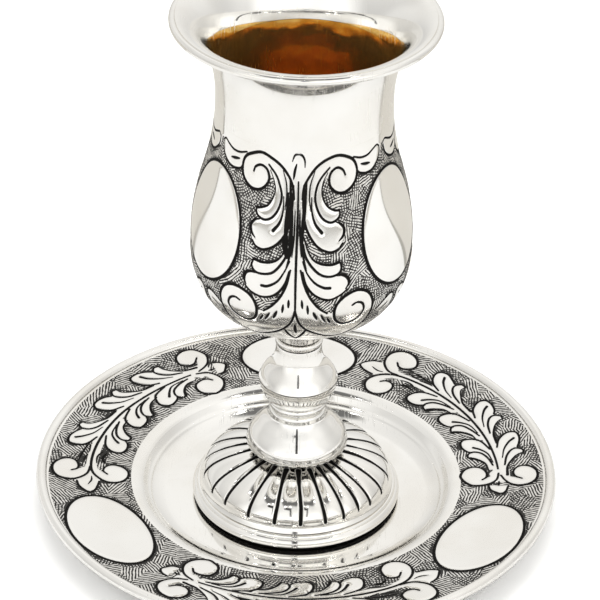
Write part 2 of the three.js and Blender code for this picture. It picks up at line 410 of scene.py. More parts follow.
handlingSettings = {
    "smudge": (0.38, 0.70, 0, 1),
    "smudgeDetail": 4.0,
    "scratch": (0.74, 0.80, 0, 1),
    "ways": ((0.4, 46.0), (1.7, 60.0), (2.6, 52.0)),   # turn and fineness of each set of scratches
    "turns": (1, 0.7, 1.9),
    "stretch": (90, 3, 3),
}


# Handling: broad smudges, and fine polishing scratches that run every way. Scratch is 1 on a scratch.
def makeHandlingGroup(settings):
    group, given, result = newGroup("handling", ["Smudge Size"], ["Smudge", "Scratch"])
    scale = math1(group, "DIVIDE", 1.0, given["Smudge Size"])
    broad = noise(group, given["Vector"], scale, settings["smudgeDetail"])
    group.links.new(remap(group, broad, *settings["smudge"]), result["Smudge"])
    strongest = 0.0
    for turn, fineness in settings["ways"]:
        inputs = {
            "Vector": given["Vector"],
            "Rotation": [turn * part for part in settings["turns"]],
            "Scale": [fineness * part for part in settings["stretch"]],
        }
        fine = noise(group, addNode(group, "Mapping", inputs)["Vector"], 1.0, 0.0)
        strongest = math1(group, "MAXIMUM", strongest, remap(group, fine, *settings["scratch"]))
    group.links.new(strongest, result["Scratch"])
    return group


hatchSettings = {
    "swayScale": 0.35,
    "sway": (0.5, 0.5, 0),             # how far the strokes bend, in millimetres
    "directions": 3.14,                # patches turn by up to half a turn
    "breakScale": 0.8,
    "breaks": (0.3, 0.7, -0.25, 0.28),
    "crossed": (-0.03, 0.03, 0.9, 0.10),
    "stroke": (-0.08, 0.08, 0, 1),
    "bite": (-0.3, 0.3, 0, 1),
}


# Hatching: short strokes in small patches, each patch with its own direction. Each stroke runs along
# sine(2 pi * distance across the patch's direction / pitch) over a wavering bar. The vector is in millimetres.
def makeHatchGroup(settings):
    labels = ["Patch", "Pitch", "Weight", "Press", "Single"]
    group, given, result = newGroup("hatching", labels, ["Stroke", "Bite"])
    vector = given["Vector"]
    inputs = {"Vector": vector, "Scale": settings["swayScale"], "Detail": 1}
    sway = addNode(group, "TexNoise", inputs, noise_dimensions="2D")["Color"]
    inputs = {0: sway, 1: settings["sway"], 2: vector}
    vector = addNode(group, "VectorMath", inputs, operation="MULTIPLY_ADD")[0]
    inputs = {"Vector": vector, "Scale": math1(group, "DIVIDE", 1.0, given["Patch"])}
    cells = addNode(group, "TexVoronoi", inputs, voronoi_dimensions="2D")
    pick = addNode(group, "SeparateColor", {"Color": cells["Color"]})
    inputs = {"Vector": vector, "Angle": math1(group, "MULTIPLY", pick["Red"], settings["directions"])}
    turned = addNode(group, "VectorRotate", inputs, rotation_type="Z_AXIS")["Vector"]
    apart = addNode(group, "SeparateXYZ", {"Vector": turned})
    breaks = noise(group, given["Vector"], settings["breakScale"], 2.0, 0.6)
    bar = math1(group, "SUBTRACT", remap(group, breaks, *settings["breaks"]), given["Weight"])
    bar = math1(group, "SUBTRACT", math1(group, "ADD", bar, 1.0), given["Press"])
    share = math1(group, "SUBTRACT", pick["Green"], given["Single"])
    waves = []
    for axis, hold in (("X", 0), ("Y", remap(group, share, *settings["crossed"]))):
        phase = math1(group, "DIVIDE", math1(group, "MULTIPLY", apart[axis], wholeTurn), given["Pitch"])
        wave = math1(group, "MULTIPLY_ADD", math1(group, "SINE", phase), 0.5, 0.5)
        waves.append(math1(group, "SUBTRACT", math1(group, "SUBTRACT", wave, bar), hold))
    over = math1(group, "MAXIMUM", *waves)
    for label in ("Stroke", "Bite"):
        group.links.new(remap(group, over, *settings[label.lower()]), result[label])
    return group


handlingGroup = makeHandlingGroup(handlingSettings)
hatchGroup = makeHatchGroup(hatchSettings)


# What every metal starts from: a colour that drifts a little warmer in broad smudges, a gloss that the smudges
# dull, and a slow wave in the surface.
def startMetal(name, settings):
    material, tree, shader = newMaterial(name)
    place = addNode(tree, "TexCoord")["Object"]
    inputs = {"Vector": place, "Smudge Size": settings["smudgeSize"]}
    handling = addNode(tree, "Group", inputs, node_tree=handlingGroup)
    smudge = handling["Smudge"]
    colour = mixColour(tree, smudge, settings["colour"], settings["warm"])
    gloss = math1(tree, "MULTIPLY_ADD", smudge, settings["smudgeRoughness"], settings["roughness"])
    waves = bumpOf(tree, noise(tree, place, settings["waveScale"], 1.0), settings["waveHeight"])
    return material, tree, shader, handling["Scratch"], colour, gloss, waves


# bright metal: the smudges, and a gloss broken by scratches
def makeMetal(name, settings):
    material, tree, shader, scratch, colour, gloss, waves = startMetal(name, settings)
    plug(tree, shader, {
        "Base Color": colour,
        "Roughness": math1(tree, "MULTIPLY_ADD", scratch, settings["scratchRoughness"], gloss),
        "Normal": bumpOf(tree, scratch, -settings["scratchDepth"], waves),
        "Metallic": settings["metallic"],
    })
    return material


# engraved metal: the smudges, and black left in every cut and stroke
def makeEngraved(name, settings):
    material, tree, shader, scratch, colour, gloss, waves = startMetal(name, settings)
    edge, ground = (addNode(tree, "Attribute", attribute_name=key)["Fac"] for key in ("edge", "ground"))
    flat = addNode(tree, "Attribute", attribute_name="place")["Vector"]
    wobble = noise(tree, flat, settings["wobbleScale"], 2.0)
    wobble = math1(tree, "MULTIPLY_ADD", wobble, settings["wobble"], -settings["wobble"] / 2)
    edge = math1(tree, "SUBTRACT", math1(tree, "ADD", edge, wobble), settings["cutSpread"])
    cut = remap(tree, edge, -settings["cutSoftness"], settings["cutSoftness"], 1, 0)
    ragged = noise(tree, flat, settings["raggedScale"], 3.0, 0.7)
    ragged = math1(tree, "MULTIPLY_ADD", ragged, settings["ragged"], -settings["ragged"] / 2)
    ground = remap(tree, math1(tree, "ADD", ground, ragged), *settings["groundEdge"])
    beside = remap(tree, edge, *settings["pressReach"], settings["press"], 0)
    blots = noise(tree, flat, settings["blotScale"], 1.0)
    inputs = {key: settings[key.lower()] for key in ("Patch", "Pitch", "Weight", "Single")}
    inputs.update({"Vector": flat, "Press": masked(tree, beside, (blots, *settings["blots"]))})
    hatch = addNode(tree, "Group", inputs, node_tree=hatchGroup)
    stroke = math1(tree, "MULTIPLY", hatch["Stroke"], ground)
    stroke = math1(tree, "MULTIPLY", stroke, settings["strokeBlack"])
    black = math1(tree, "MAXIMUM", cut, stroke, clamp=True)
    stain = math1(tree, "MULTIPLY", ground, settings["stain"])
    colour = mixColour(tree, stain, colour, settings["stainColour"])
    gloss = math1(tree, "MULTIPLY_ADD", ground, settings["groundRoughness"], gloss)
    bite = math1(tree, "MULTIPLY", hatch["Bite"], ground)
    plug(tree, shader, {
        "Base Color": mixColour(tree, black, colour, settings["black"]),
        "Roughness": math1(tree, "MULTIPLY_ADD", black, settings["blackRoughness"], gloss, clamp=True),
        "Metallic": math1(tree, "MULTIPLY_ADD", black, -settings["blackDull"], 1.0),
        "Normal": bumpOf(tree, bite, -settings["strokeDepth"], waves),
        "Specular IOR Level": settings["shine"],
    })
    return material


silverSettings = {
    "colour": (0.93, 0.92, 0.895),
    "warm": (0.87, 0.85, 0.81),
    "roughness": 0.055,
    "smudgeSize": 0.022,
    "smudgeRoughness": 0.10,
    "scratchRoughness": 0.16,
    "scratchDepth": 0.000004,
    "waveScale": 70.0,
    "waveHeight": 0.00003,
    "metallic": 1.0,
}
engravedSettings = dict(
    silverSettings,
    wobbleScale=1.7,
    wobble=0.10,
    cutSoftness=0.05,
    cutSpread=0.07,
    raggedScale=1.3,
    ragged=0.7,
    groundEdge=(0.42, 0.58, 0, 1),
    patch=3.4,
    pitch=0.74,
    weight=0.47,
    single=0.39,             # share of the hatched patches that are stroked one way only
    press=0.45,              # how much denser the strokes are beside a cut
    pressReach=(0.15, 0.9),
    blotScale=0.16,
    blots=(0.38, 0.62, 0.15, 1),
    strokeBlack=0.97,
    strokeDepth=0.00003,
    stain=0.35,
    stainColour=(0.66, 0.64, 0.60),
    black=(0.006, 0.0055, 0.005),
    groundRoughness=0.12,
    blackRoughness=0.5,
    blackDull=1.0,
    shine=0.08,
)
engravedSaucerSettings = dict(
    engravedSettings, patch=5.0, pitch=0.80, weight=0.50, single=0.66, press=0.62, pressReach=(0.15, 1.2),
)
giltSettings = dict(
    silverSettings, colour=(0.78, 0.50, 0.16), warm=(0.66, 0.40, 0.10), roughness=0.08, smudgeSize=0.012,
    smudgeRoughness=0.14, scratchRoughness=0.12, waveScale=160.0, waveHeight=0.0004, metallic=0.95,
)
steelSettings = dict(
    silverSettings, colour=(0.56, 0.56, 0.55), warm=(0.46, 0.45, 0.43), roughness=0.28, smudgeSize=0.006,
    smudgeRoughness=0.15, scratchRoughness=0.15, waveScale=300.0, waveHeight=0.00005,
)
polishedSilver = makeMetal("polished silver", silverSettings)
engravedSilver = makeEngraved("engraved silver", engravedSettings)
engravedSaucer = makeEngraved("engraved saucer silver", engravedSaucerSettings)
gilt = makeMetal("gilt lining", giltSettings)
plainSteel = makeMetal("steel fastening", steelSettings)
print("materials ready")


# Sweeps a piece, keeps its edges crisp where faces meet at more than the given angle, gives it its material,
# puts it under its body and hides the node that it stands for.
def makePiece(name, node, section, columns, material=polishedSilver, slot="silver", body="goblet", sharp=40,
              **shape):
    piece = sweep(name, section, columns, **shape)
    if sharp:
        piece.data.set_sharp_from_angle(angle=math.radians(sharp))
    piece.data.materials.append(material)
    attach(piece, body)
    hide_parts(node)


# A third of an engraved surface: relief and marks on the section's first rows, the rest plain. The fields are
# the distance to the cuts, the hatched ground and the plain metal.
def makePanel(name, node, section, fields, fade, relief, degrees, place, **finish):
    edge, ground, plain = fields
    columns, front = edge.shape[0] - 1, edge.shape[1]
    lift = np.zeros((columns + 1, len(section)))
    edges, grounds = lift + 1, lift.copy()
    lift[:, :front] = reliefHeight(edge, ground, plain, relief) * fade
    edges[:, :front], grounds[:, :front] = edge, ground
    makePiece(
        name, node, section, columns, slot="engraved_silver", sharp=75, start=math.radians(degrees - 60),
        turn=wholeTurn / 3, lift=lift, marks={"edge": edges, "ground": grounds}, place=place, front=front, **finish,
    )


# The hatched ground and the plain metal, softly bounded: neither covers the motif's shape.
def groundAndPlain(hatched, shape, relief):
    return [soften((part & ~shape).astype(float), relief["maskSoft"]) for part in (hatched, ~hatched)]


bowlSettings = {
    "bottom": span("bowl")[0],
    "belly": 21.3,           # height of the widest place above the bottom
    "bellyRadius": 28.6,
    "side": 43.0,            # from the widest place up to the throat
    "throatRadius": 22.4,
    "flare": 20.3,
    "edgeRadius": 31.65,
    "flareTurn": 0.45 * math.pi,
    "tuck": [(0.4, 0.06), (0.8, 0.1)],    # the edge runs on into the rolled lip
    "wall": 1.0,
    "skin": 0.5,             # thickness of the silver outside the gilding
    "engravedFrom": -17.6,   # along the profile from the widest place
    "engravedTo": 39.0,
    "giltHeight": 132.4,
    "underPanels": 0.03,     # how far the plain walls are tucked under the panels
    "lapLow": 0.6,
    "lapHigh": 0.5,
}


# Outside of the bowl, from the middle of its bottom to its edge: a flattened round bottom,
# r = belly * cos(t)^0.6 and z = -depth * sin(t)^0.94; a side that steps smoothly in to the throat;
# and a quarter ellipse out to the edge.
def bowlOutline(settings):
    bellyHeight = settings["bottom"] + settings["belly"]
    t = np.linspace(math.pi / 2, 0, 160)[1:]
    bottom = np.stack([
        settings["bellyRadius"] * np.cos(t) ** 0.6,
        bellyHeight - settings["belly"] * np.sin(t) ** 0.94,
    ], 1)
    rise = np.linspace(0, 1, 120)[1:]
    step = rise**3 * (10 - 15 * rise + 6 * rise**2)
    drawIn = settings["throatRadius"] - settings["bellyRadius"]
    side = np.stack([settings["bellyRadius"] + drawIn * step, bellyHeight + settings["side"] * rise], 1)
    whole = settings["flareTurn"]
    turn = np.linspace(0, whole, 90)[1:]
    reach = settings["edgeRadius"] - settings["throatRadius"]
    flare = np.stack([
        settings["throatRadius"] + reach * (1 - np.cos(turn)) / (1 - math.cos(whole)),
        side[-1, 1] + settings["flare"] * np.sin(turn) / math.sin(whole),
    ], 1)
    tucked = flare[-1] + settings["tuck"]
    return np.vstack([[[0, settings["bottom"]]], bottom, side, flare, tucked]), len(bottom)


bowlLine, bellyIndex = bowlOutline(bowlSettings)
bowlLength = lengthAlong(bowlLine)
bowlLength -= bowlLength[bellyIndex]          # lengths along the profile count from the widest place


# the part of the bowl's profile between two lengths
def bowlStretch(start, end, count):
    return pointsAt(bowlLine, bowlLength, np.linspace(start, end, count))


# cuts: points (across, up) in millimetres from the widest place on the motif's middle line, width, swell
bowlScroll = [
    ([(0, -4), (0.9, -7.6), (2.7, -10.4), (5.9, -13.1), (9.5, -15.2), (13.2, -16.2), (17, -14.8), (20.3, -11.3),
      (21.6, -7.2), (21.2, -3.6), (19.4, -0.8), (16.3, 0.5), (13, -0.3), (10.9, -2.4), (10.1, -5.2), (10.9, -7.9),
      (13, -9.6), (15.6, -9.6), (17.8, -8.3), (18.7, -6.2), (18, -4.1), (16.4, -3.2), (14.9, -3.6)], 0.74, "even"),
    ([(1.2, 26.5), (1.7, 29.6), (3.2, 32.5), (5.5, 34.9), (8.5, 36.6), (12, 37.4), (15, 36.8), (17.6, 35.3),
      (18.7, 32.9), (18.2, 30.3), (16.4, 28.4), (14, 27.5), (11.5, 27.9), (9.7, 29.4), (9.2, 31.4), (10.1, 33.3),
      (12, 34.1), (13.8, 33.4), (14.5, 32)], 0.78, "even"),
]
bowlLeaf = [
    ([(8.9, 33.2), (7.5, 31), (6.9, 28.5), (7.4, 26.2), (8.7, 24.3), (10.4, 23.3), (12, 23.1)], 0.6, "end"),
    ([(9.6, 34.6), (7.1, 32.3), (5.6, 29.8), (5, 27), (5.5, 24), (6.9, 21.6), (8.9, 20.3), (10.8, 20.7),
      (11.9, 21.9), (12, 23.1)], 0.62, "even"),
    ([(4.9, 33.8), (3.6, 30.5), (3.3, 27), (3.7, 23.5)], 0.38, "both"),
    ([(4.1, 27), (4.1, 23.5), (4.9, 20.3), (6.6, 18)], 0.85, "end"),
    ([(1.5, 30), (1.5, 25), (2.1, 20.5), (3.4, 17), (5.7, 14.1), (8.7, 12.7), (10.9, 13.2), (12.1, 14.5)], 0.62, "even"),
    ([(11.2, 15.2), (12.6, 16.6), (12.9, 18.4), (11.9, 19.8), (10.6, 20.3)], 0.78, "both"),
    ([(1.9, 17), (2.7, 13.8), (4.3, 11), (6.5, 9.6), (9, 9.2), (11, 9.6)], 0.78, "end"),
    ([(1.7, 15), (2.5, 11.8), (4, 8.9), (6.1, 6.8), (8.4, 6), (10.6, 6.4), (11.6, 7.7), (11.4, 9.3)], 0.62, "even"),
    ([(1.6, 10.5), (2.9, 7.2), (4.7, 4.5), (7, 2.9), (8.6, 2.6)], 0.78, "end"),
    ([(10.2, 5.9), (12, 5.9), (13.3, 4.8), (13.6, 3.1), (12.9, 1.9)], 0.82, "both"),
    ([(13.2, 1.6), (11.6, 0.2), (9, -0.7), (6.4, -0.2), (4.2, 1.5), (2.6, 4.2), (1.7, 7.6)], 0.58, "even"),
    ([(1.3, 8), (2.2, 3.8), (3.8, 0.2), (6, -3), (8.2, -5)], 0.58, "even"),
    ([(1.6, -0.5), (1.7, -3)], 0.6, "both"),
    ([(3, -2), (3.3, -4.8)], 0.6, "both"),
    ([(4.6, -4.4), (5.7, -6.9)], 0.72, "both"),
    ([(6.6, -5.4), (8, -8)], 0.6, "both"),
    ([(8.3, -6.4), (9.6, -8.6)], 0.6, "both"),
    ([(2.7, -11.2), (1.7, -13.8), (0, -16.2)], 0.74, "even"),
    ([(2.5, 31.5), (2.15, 27.5), (1.75, 22.5), (1.45, 17), (1.5, 12)], 1.0, "both"),
    ([(0.75, 24), (0.85, 17), (1.1, 11.5)], 0.4, "both"),
    ([(0.9, 17), (1.7, 12), (2.7, 8)], 0.5, "both"),
    ([(17.6, 36.2), (20.5, 35.3), (23.2, 35.3), (25.8, 36.1), (27.6, 36.7), (28.7, 36)], 0.52, "even"),
    ([(28.7, 36), (28.6, 34.4), (27.4, 32.6), (24.8, 31), (22, 30.7), (19.6, 31.5), (18.8, 32.3)], 0.62, "even"),
    ([(20.2, 33.6), (22, 33.3), (24, 32.9)], 0.72, "both"),
]
bowlMiddle = [                                 # cut once, on the motif's own middle line
    ([(0, 31), (0, 20), (0, 8), (0, -4)], 0.6, "even"),
    ([(0, -8.6), (0.1, -10.6), (0.3, -12.6)], 0.85, "both"),
    ([(-2.2, 36.4), (-1.2, 38.1), (0.6, 38.4), (1.6, 36.9), (1.8, 34.9)], 0.6, "both"),
    ([(-0.8, 35.7), (-1.3, 34), (-1.5, 31.6)], 0.75, "both"),
    ([(-2.9, 28), (-2.9, 23), (-3.0, 18), (-2.5, 12.5)], 1.1, "both"),
    ([(-1.9, 21), (-1.8, 16), (-2.1, 11.5)], 0.9, "end"),
    ([(-3.3, 17.5), (-3.1, 14.5), (-2.5, 11.2)], 1.3, "both"),
]
bowlBud = [                                    # small leaves outside the lower scrolls, under the ovals
    ([(22.4, -8.4), (24.6, -6.5), (26.9, -5.4), (28.6, -5.9), (29.1, -7.6), (28.8, -10.3), (28.0, -11.9),
      (26.3, -13.6)], 0.58, "even"),
    ([(26.6, -8.3), (25.1, -9.3), (23.8, -10.4)], 0.6, "start"),
]
# outlines: stretches of the cuts that bound a shape, and the points that join them
scrollLow, scrollHigh = (cut[0] for cut in bowlScroll)
leaf = [cut[0] for cut in bowlLeaf]
bowlLeafOutline = [
    (0, 12), (0, 28), *scrollHigh[1:13], (9.5, 29.6), (8.7, 32), *leaf[0][1:], (11.9, 21.9), (10.8, 20.7),
    (11.9, 19.8), (12.9, 18.4), (12.6, 16.6), *leaf[4][:1:-1], *leaf[6][:5], *leaf[7][:4:-1], *leaf[9][1:4],
    *leaf[10][:6], *leaf[11][1:], *scrollLow[14::-1],
]
bowlTipOutline = [*leaf[21], *leaf[22][1:6], (18.4, 31.5)]
bowlHatched = [
    (1, -5), (9.5, -8), (20, -12.5), (31, -12.5), (31, 36.6), (28.8, 36.6), (28, 33.5), (19, 33), (17, 30),
    (9.6, 31), (8.6, 33.2), (6, 30), (6, 20), (2, 20), (1.5, 5),
]
bowlOval = {"away": 29.95, "up": 13.5, "halfWidth": 13.0, "halfHeight": 16.0, "width": 0.82}
bowlPanelSettings = {
    "sectors": {"front": 270, "right": 30, "left": 150},
    "offCentre": -1.2,       # the motif stands a little to one side
    "motifHalfWidth": 25,    # hatching beyond this isn't moved with the motif
    "columns": 298,
    "rows": 297,
    "backRows": 26,
    "wander": 0.07,
    "fadeLow": 1.2,
    "fadeHigh": 0.9,
}


# A motif's two ovals: angle goes once round, x = middle + half width * cos, y = middle + half height * sin.
def ovalCuts(oval):
    angle = np.linspace(0.7, 0.7 + wholeTurn, 33)
    across, up = oval["halfWidth"] * np.cos(angle), oval["up"] + oval["halfHeight"] * np.sin(angle)
    return [(np.stack([side * oval["away"] + across, up], 1), oval["width"], "even") for side in (-1, 1)]


# the distance to the bowl's cuts, its hatched ground and its plain metal, over one third
def bowlFields(x, s, settings):
    dx, wide = settings["offCentre"], settings["motifHalfWidth"]
    sides = bowlScroll + bowlLeaf
    cuts = movedCuts(sides + mirrored(sides) + bowlMiddle, dx) + bowlBud + mirrored(bowlBud)
    edge = edgeDistance(x, s, cuts, settings["wander"])
    ovals = ovalCuts(bowlOval)
    edge = np.minimum(edge, edgeDistance(x, s, ovals, 0))
    shape, hatched = np.zeros((2, *edge.shape), bool)
    for side, oval in zip((-1, 1), ovals):
        for outline in (bowlLeafOutline, bowlTipOutline):
            shape |= inside(x, s, [(side * px + dx, py) for px, py in outline])
        shape |= inside(x, s, [(side * px, py) for px, py in bowlBud[0][0]]) | inside(x, s, oval[0])
        hatched |= inside(x, s, [(side * px + (dx if px < wide else 0), py) for px, py in bowlHatched])
    return edge, *groundAndPlain(hatched, shape, bowlRelief)


def makeBowlPanels(settings, bowl):
    s = np.linspace(bowl["engravedFrom"], bowl["engravedTo"], settings["rows"])
    x = np.linspace(-wholeTurn / 6, wholeTurn / 6, settings["columns"] + 1) * bowl["bellyRadius"]
    outer = bowlStretch(s[0], s[-1], settings["rows"])
    inner = wallBehind(bowlStretch(s[0], s[-1], settings["backRows"]), bowl["skin"])[::-1]
    section = np.vstack([outer, inner])
    fade = softStep(s, s[0], s[0] + settings["fadeLow"]) * softStep(-s, -s[-1], settings["fadeHigh"] - s[-1])
    for label, degrees in settings["sectors"].items():
        place = np.zeros((len(x), len(section), 2))
        place[..., 0] = x[:, None] + degrees
        place[:, :len(s), 1] = s
        fields = bowlFields(x, s, settings)
        makePanel("bowl_panel_" + label, "bowl", section, fields, fade, bowlRelief, degrees, place,
                  material=engravedSilver)


makeBowlPanels(bowlPanelSettings, bowlSettings)
print("bowl panels engraved")


# The plain bottom, neck and gilding of the bowl, each a closed wall cut from the same profile.
def makeBowlWalls(bowl):
    low, high, skin, brim = bowlLength[0], bowlLength[-1], bowl["skin"], bowl["giltHeight"]
    bottom = bowlStretch(low, bowl["engravedFrom"] + bowl["lapLow"], 60)
    bottom[0, 0] = 0
    back = wallBehind(bottom, skin)[::-1]
    back[-1] = (0, bowl["bottom"] + skin)
    bottom[1:] -= bowl["underPanels"] * sideways(bottom)[1:]
    makePiece("bowl_base", "bowl", np.vstack([bottom, back]), 192, looped=False)

    start = bowl["engravedTo"] - bowl["lapHigh"]
    outer = bowlStretch(start, high, 150)
    outer[:3] -= bowl["underPanels"] * sideways(outer)[:3]
    inner = wallBehind(bowlStretch(bowl["engravedTo"], high, 150), bowl["wall"])[::-1]
    seam = wallBehind(bowlStretch(start, high, 300), skin)[::-1]
    seam = seam[seam[:, 1] < brim - 0.15][::6]
    makePiece("bowl_neck", "bowl", np.vstack([outer, inner[inner[:, 1] > brim], seam]), 240)

    faces = []
    for depth, top, count in ((skin + 0.05, brim - 0.2, 140), (bowl["wall"], brim, 420)):
        face = wallBehind(bowlStretch(low, high, count), depth)
        face = face[(face[:, 1] < top) & (face[:, 0] > 0.4)]
        faces.append(np.vstack([[(0, bowl["bottom"] + depth)], face]))
    makePiece("bowl_gilding", "bowl", np.vstack([faces[0], faces[1][::-1]]), 180, gilt, "gilt", looped=False)


makeBowlWalls(bowlSettings)
wireSettings = {
    "sides": 28,
    "lip": {"ringRadius": 32.95, "wireRadius": 1.0, "columns": 300},
    "saucer": {"ringRadius": 68.6, "wireRadius": 1.4, "columns": 400},
}


# A ring of round wire: its section is a circle about the ring's radius and the middle of the node's height.
def makeWire(name, node, ringRadius, wireRadius, columns, **finish):
    low, high, _ = span(node)
    angle = wholeTurn * np.arange(wireSettings["sides"]) / wireSettings["sides"]
    circle = wireRadius * np.stack([np.cos(angle), np.sin(angle)], 1)
    makePiece(name, node, circle + (ringRadius, (low + high) / 2), columns, sharp=0, **finish)


makeWire("lip_roll", "lip_wire", **wireSettings["lip"])
print("bowl closed")


stemSettings = {
    "sheet": 0.9,
    "bore": 1.8,
    "columns": 144,
    "skirt": [(13.65, 0), (12.8, 3.3), (10.55, 6), (8, 8.5), (7.5, 10.5)],
    "skirtLip": [(-1.05, 0.55), (-0.9, 0), (0, 0), (-0.02, 0.9)],    # from the bell's radius and foot
    "skirtTop": [(7.35, -0.12), (7.2, 0)],                           # up to the bell's top
    "seat": 1.5,             # depth of the solid crown over the bell
    "beadSwell": 1.2,
    "upperBase": [(8.2, 0), (9.25, 1.9), (10.15, 4.2), (10.45, 6.2)],
    "upperTop": [(10.45, 0), (9.45, 2.1), (7.2, 4.9), (6.25, 7.6), (6.0, 10.6)],
    "blindHole": 4.9,        # how far the rod's hole goes up into the stub
}
bore = stemSettings["bore"]


def lifted(points, base):
    return smoothLine([(r, z + base) for r, z in points], 12)


# A plain ring round the rod, with rounded corners.
def makeRing(name, node, rounding, columns, steps=4, **finish):
    low, high, radius = span(node)
    corners = [(bore, low), (radius, low), (radius, high), (bore, high)]
    makePiece(name, node, roundedCorners(corners, rounding, steps), columns, **finish)


# The stem, from the bell up: hollow turned knops, a bead whose profile is sine of the way up, a ring and a stub.
def makeStem(settings):
    sheet, columns = settings["sheet"], settings["columns"]

    low, high, radius = span("lower_knop")
    seat = high - settings["seat"]
    outer = lifted(settings["skirt"], low)
    lip = roundedCorners(np.add(settings["skirtLip"], (radius, low)), 0.45)[1:-1]
    inner = wallBehind(outer[:-6], sheet)[::-1]
    inner = inner[(inner[:, 1] < seat) & (inner[:, 1] > low + 0.8)]
    crown = [*np.add(settings["skirtTop"], (0, high)), (bore, high), (bore, seat)]
    makePiece("stem_bell", "lower_knop", np.vstack([lip, outer[8:], crown, inner]), columns)

    low, high, radius = span("stem_bead")
    turn, swell = np.linspace(0, math.pi, 18), settings["beadSwell"]
    belly = [radius - swell + swell * np.sin(turn) ** 0.8, (low + high) / 2 - (high - low) / 2 * np.cos(turn)]
    makePiece("stem_bead_turned", "stem_bead", np.vstack([[(bore, low)], np.transpose(belly), [(bore, high)]]), columns)

    low, high, radius = span("upper_knop_base")
    outer = lifted(settings["upperBase"], low)
    inner = wallBehind(outer, sheet)[::-1]
    inner = inner[inner[:, 1] > low + sheet]
    inner[0, 1] = high
    section = np.vstack([[(bore, low)], outer, inner, [(bore, low + sheet)]])
    makePiece("knop_cup", "upper_knop_base", section, columns)

    low, high, radius = span("upper_knop_top")
    outer = lifted(settings["upperTop"], low)
    inner = wallBehind(outer, sheet)[::-1]
    inner = inner[inner[:, 1] < high - sheet]
    inner[-1, 1] = low
    section = np.vstack([outer, [(bore, high), (bore, high - sheet)], inner])
    makePiece("knop_shoulder", "upper_knop_top", section, columns)

    makeRing("collar_ring", "stem_collar", 0.55, columns, 5, sharp=60)

    low, high, radius = span("bowl_stub")
    blind = low + settings["blindHole"]
    neck = [(0, blind), (bore, blind), (bore, low), (radius, low), (radius, high), (0, high)]
    makePiece("bowl_neck_stub", "bowl_stub", roundedCorners(neck, 0.25), columns, looped=False)


makeStem(stemSettings)
print("stem turned")


# angles of the cuts between flutes, in degrees from the front
flutesLeft = [12.9, 30, 48.8, 63.2, 80.7, 94, 107, 124.6, 140.8, 152.5, 167]
flutesRight = [3.7, 18.1, 31.3, 42.1, 52.5, 66.6, 81.8, 95.5, 109, 126, 142, 153, 167]
footSettings = {
    "radius": 25.1,
    "skirt": [(1.0, 0), (0.45, 0.8), (0.12, 1.6), (0, 2.4)],    # from the crown's radius and the foot
    "crownTurn": 0.47 * math.pi,
    "sheet": 0.9,
    "columns": 480,
    "cutTop": 11.5,          # radius at which a cut starts, under the bell
    "cutEnd": 25.25,
    "endWander": 0.25,
    "cutWidth": 1.0,
    "widths": (0.8, 1.1),
    # cut width by radius: the widening under the bell is partly the cut itself and partly a painted shadow of the bell
    "taperAt": (11.5, 14.0, 17.0, 25.25),
    "taper": (1.45, 1.05, 0.75, 0.95),
    "cutDepth": 0.40,
    "cutFlank": (-0.30, 0.12),
    "swell": 0.42,           # how far each flute stands proud in its middle
    "swellAt": (9, 14),      # radii between which the flutes grow
    "wander": 0.15,
    "rim": {
        "columns": 240,
        "width": 2.6,
        "undercut": 0.8,     # below this the moulding is painted black, a painted shadow under the rim
        "moulding": [(-0.75, 0), (-0.2, 0.1), (0, 0.8), (-0.1, 1.5), (-0.75, 2.15), (-1.15, 2.3), (-1.15, 2.6)],
        "rounding": 0.5,
    },
}


# The distance from each point of the crown to the nearest cut's edge. Each cut runs up from the skirt along
#  its own angle, wavers, narrows up to radius 17 and widens again under the bell, where its black is partly painted
#  shadow.
def fluteGap(outer, lengths, angle, lines, shoulder, settings):
    edge = settings["radius"]
    gap = np.full((len(angle), len(outer)), 9.0)
    taper = np.interp(outer[:, 0], settings["taperAt"], settings["taper"])
    along = np.where(outer[:, 1] < shoulder, edge + shoulder - outer[:, 1], outer[:, 0])
    for line in lines:
        drift = random.normal(0, settings["wander"], 5)
        waver = np.interp(lengths, np.linspace(0, lengths[-1], 5), drift)
        off = (angle[:, None] - line + math.pi) % wholeTurn - math.pi
        width = settings["cutWidth"] * random.uniform(*settings["widths"])
        end = settings["cutEnd"] - abs(random.normal(0, settings["endWander"]))
        beyond = np.maximum(np.maximum(along - end, settings["cutTop"] - along), 0)
        gap = np.minimum(gap, np.hypot(np.abs(off * outer[:, 0] - waver), beyond) - width * taper / 2)
    return gap


